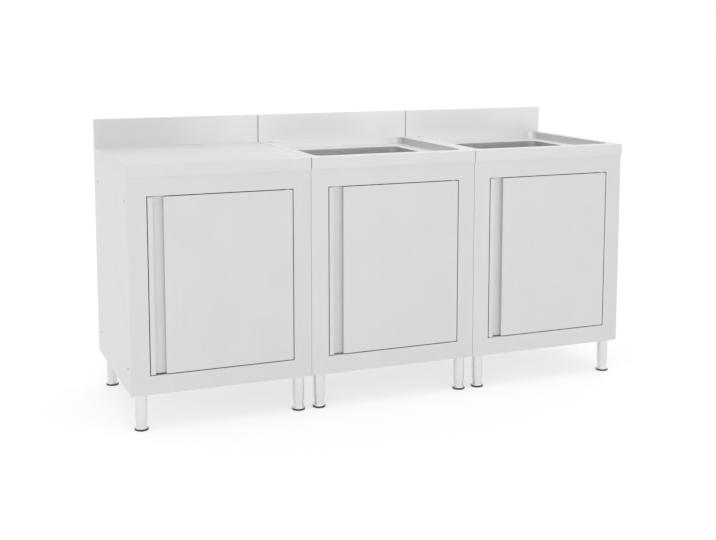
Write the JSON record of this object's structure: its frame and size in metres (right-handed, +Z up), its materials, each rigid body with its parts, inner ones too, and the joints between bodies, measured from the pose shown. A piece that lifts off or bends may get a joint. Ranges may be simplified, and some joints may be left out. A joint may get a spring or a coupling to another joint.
{
  "type": "kitchen sink unit",
  "caption": "Stainless steel kitchen row: a work cabinet joined to sink cabinets, with splashbacks, pressed bowls, grooved hinged doors and screw feet.",
  "frame": {"origin": "on the floor, under the middle of the row, half way between the worktops' front edge and the wall face", "axes": "+X right along the row seen from the front, +Y to the wall behind, +Z up"},
  "size_m": [1.8034, 0.6, 0.95],
  "materials": {
    "stainless_sheet": "fine horizontal brushing",
    "stainless_bowl": "satin",
    "stainless_waste": "polished",
    "black_plastic": "moulded",
    "black_rubber": "matte",
    "stainless_tube": "satin",
    "stainless_foot": "satin",
    "steel_plate": "plain",
    "bright_fastener": "bright",
    "nylon_bush": "moulded",
    "catch_plastic": "moulded"
  },
  "bodies": {
    "cabinet_row": {"left_worktop": "stainless_sheet", "left_face_frame": "stainless_sheet", "left_left_side": "stainless_sheet", "left_right_side": "stainless_sheet", "left_back_panel": "stainless_sheet", "left_base_panel": "stainless_sheet", "middle_worktop": "stainless_sheet", "middle_face_frame": "stainless_sheet", "middle_left_side": "stainless_sheet", "middle_right_side": "stainless_sheet", "middle_back_panel": "stainless_sheet", "middle_base_panel": "stainless_sheet", "right_worktop": "stainless_sheet", "right_face_frame": "stainless_sheet", "right_left_side": "stainless_sheet", "right_right_side": "stainless_sheet", "right_back_panel": "stainless_sheet", "right_base_panel": "stainless_sheet", "middle_sink_bowl": "stainless_bowl", "middle_basket_waste": "stainless_waste", "right_sink_bowl": "stainless_bowl", "right_basket_waste": "stainless_waste", "waste_gaskets": "black_rubber", "waste_nuts": "black_plastic", "worktop_stiffeners": "stainless_sheet", "left_shelf": "stainless_sheet", "shelf_studs": "bright_fastener", "leg_tubes": "stainless_tube", "leg_inserts": "steel_plate", "hinge_brackets": "steel_plate", "hinge_pins": "bright_fastener", "door_catches": "catch_plastic", "side_screws": "bright_fastener", "joining_bolts": "bright_fastener"},
    "left_door": {"left_door_skin": "stainless_sheet", "left_door_liner": "stainless_sheet", "left_door_bushes": "nylon_bush", "left_door_strike": "stainless_sheet"},
    "middle_door": {"middle_door_skin": "stainless_sheet", "middle_door_liner": "stainless_sheet", "middle_door_bushes": "nylon_bush", "middle_door_strike": "stainless_sheet"},
    "right_door": {"right_door_skin": "stainless_sheet", "right_door_liner": "stainless_sheet", "right_door_bushes": "nylon_bush", "right_door_strike": "stainless_sheet"},
    "left_front_left_foot": {"left_front_left_foot": "stainless_foot"},
    "left_front_right_foot": {"left_front_right_foot": "stainless_foot"},
    "left_back_left_foot": {"left_back_left_foot": "stainless_foot"},
    "left_back_right_foot": {"left_back_right_foot": "stainless_foot"},
    "middle_front_left_foot": {"middle_front_left_foot": "stainless_foot"},
    "middle_front_right_foot": {"middle_front_right_foot": "stainless_foot"},
    "middle_back_left_foot": {"middle_back_left_foot": "stainless_foot"},
    "middle_back_right_foot": {"middle_back_right_foot": "stainless_foot"},
    "right_front_left_foot": {"right_front_left_foot": "stainless_foot"},
    "right_front_right_foot": {"right_front_right_foot": "stainless_foot"},
    "right_back_left_foot": {"right_back_left_foot": "stainless_foot"},
    "right_back_right_foot": {"right_back_right_foot": "stainless_foot"},
    "middle_basket": {"middle_strainer": "stainless_waste"},
    "right_basket": {"right_strainer": "stainless_waste"}
  },
  "joints": [
    {"name": "left_door_hinge", "type": "hinge", "parent": "cabinet_row", "child": "left_door", "pos_m": [-0.3785, -0.283, 0.465], "axis": [0, 0, 1], "range_deg": [0, 110]},
    {"name": "middle_door_hinge", "type": "hinge", "parent": "cabinet_row", "child": "middle_door", "pos_m": [0.2215, -0.283, 0.465], "axis": [0, 0, 1], "range_deg": [0, 110]},
    {"name": "right_door_hinge", "type": "hinge", "parent": "cabinet_row", "child": "right_door", "pos_m": [0.8215, -0.283, 0.465], "axis": [0, 0, 1], "range_deg": [0, 110]},
    {"name": "left_front_left_foot_height", "type": "slide", "parent": "cabinet_row", "child": "left_front_left_foot", "axis": [0, 0, 1], "range_m": [-0.02, 0.012]},
    {"name": "left_front_right_foot_height", "type": "slide", "parent": "cabinet_row", "child": "left_front_right_foot", "axis": [0, 0, 1], "range_m": [-0.02, 0.012]},
    {"name": "left_back_left_foot_height", "type": "slide", "parent": "cabinet_row", "child": "left_back_left_foot", "axis": [0, 0, 1], "range_m": [-0.02, 0.012]},
    {"name": "left_back_right_foot_height", "type": "slide", "parent": "cabinet_row", "child": "left_back_right_foot", "axis": [0, 0, 1], "range_m": [-0.02, 0.012]},
    {"name": "middle_front_left_foot_height", "type": "slide", "parent": "cabinet_row", "child": "middle_front_left_foot", "axis": [0, 0, 1], "range_m": [-0.02, 0.012]},
    {"name": "middle_front_right_foot_height", "type": "slide", "parent": "cabinet_row", "child": "middle_front_right_foot", "axis": [0, 0, 1], "range_m": [-0.02, 0.012]},
    {"name": "middle_back_left_foot_height", "type": "slide", "parent": "cabinet_row", "child": "middle_back_left_foot", "axis": [0, 0, 1], "range_m": [-0.02, 0.012]},
    {"name": "middle_back_right_foot_height", "type": "slide", "parent": "cabinet_row", "child": "middle_back_right_foot", "axis": [0, 0, 1], "range_m": [-0.02, 0.012]},
    {"name": "right_front_left_foot_height", "type": "slide", "parent": "cabinet_row", "child": "right_front_left_foot", "axis": [0, 0, 1], "range_m": [-0.02, 0.012]},
    {"name": "right_front_right_foot_height", "type": "slide", "parent": "cabinet_row", "child": "right_front_right_foot", "axis": [0, 0, 1], "range_m": [-0.02, 0.012]},
    {"name": "right_back_left_foot_height", "type": "slide", "parent": "cabinet_row", "child": "right_back_left_foot", "axis": [0, 0, 1], "range_m": [-0.02, 0.012]},
    {"name": "right_back_right_foot_height", "type": "slide", "parent": "cabinet_row", "child": "right_back_right_foot", "axis": [0, 0, 1], "range_m": [-0.02, 0.012]},
    {"name": "middle_basket_lift", "type": "slide", "parent": "cabinet_row", "child": "middle_basket", "axis": [0, 0, 1], "range_m": [0, 0.06]},
    {"name": "right_basket_lift", "type": "slide", "parent": "cabinet_row", "child": "right_basket", "axis": [0, 0, 1], "range_m": [0, 0.06]}
  ]
}
